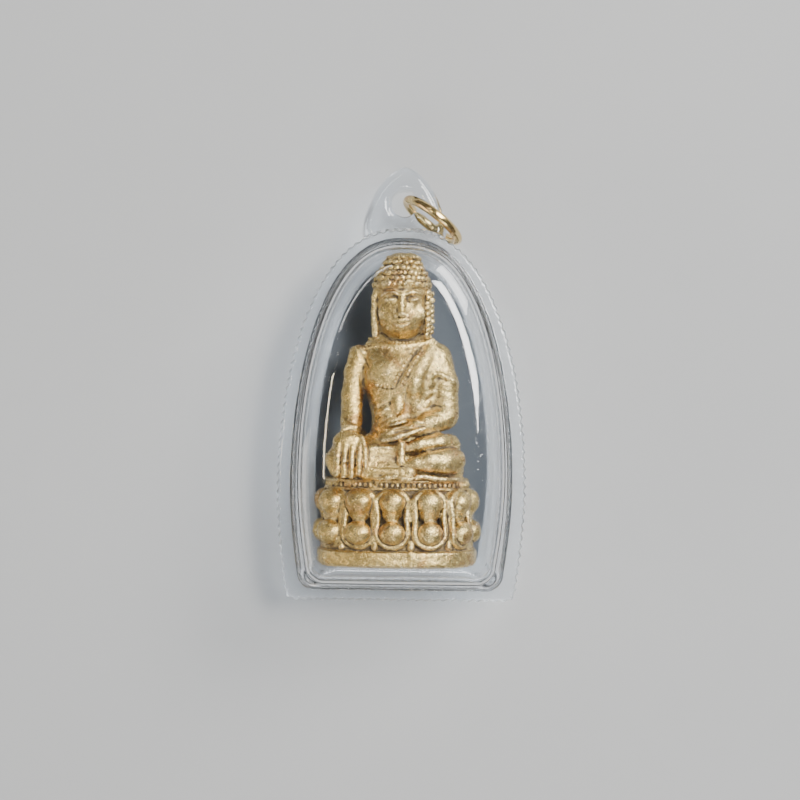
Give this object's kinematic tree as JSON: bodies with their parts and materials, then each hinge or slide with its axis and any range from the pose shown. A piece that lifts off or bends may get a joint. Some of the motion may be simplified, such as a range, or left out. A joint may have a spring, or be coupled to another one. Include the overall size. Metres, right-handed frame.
{
  "type": "buddha amulet pendant in a clear locket",
  "caption": "Small cast metal seated figure on a lotus throne, sealed in a clear arched locket with a milled rim, a bored bail and a jump ring.",
  "frame": {"origin": "on the back face's plane, under the middle of the whole length from the foot of the case to the top of the bail", "axes": "+X to the right seen from the front, +Y towards the bail, +Z out of the front; it lies on its back"},
  "size_m": [0.0288, 0.0502, 0.0166],
  "materials": {
    "cast_brass": "pitted casting with dark crevices, golden on one side and paler on the other",
    "clear_acrylic": "clear and glossy with fine scratches",
    "gold_wire": "polished"
  },
  "bodies": {
    "root": {"figure": "cast_brass", "back_shell": "clear_acrylic", "front_shell": "clear_acrylic", "bail": "clear_acrylic", "ring": "gold_wire"}
  },
  "joints": []
}
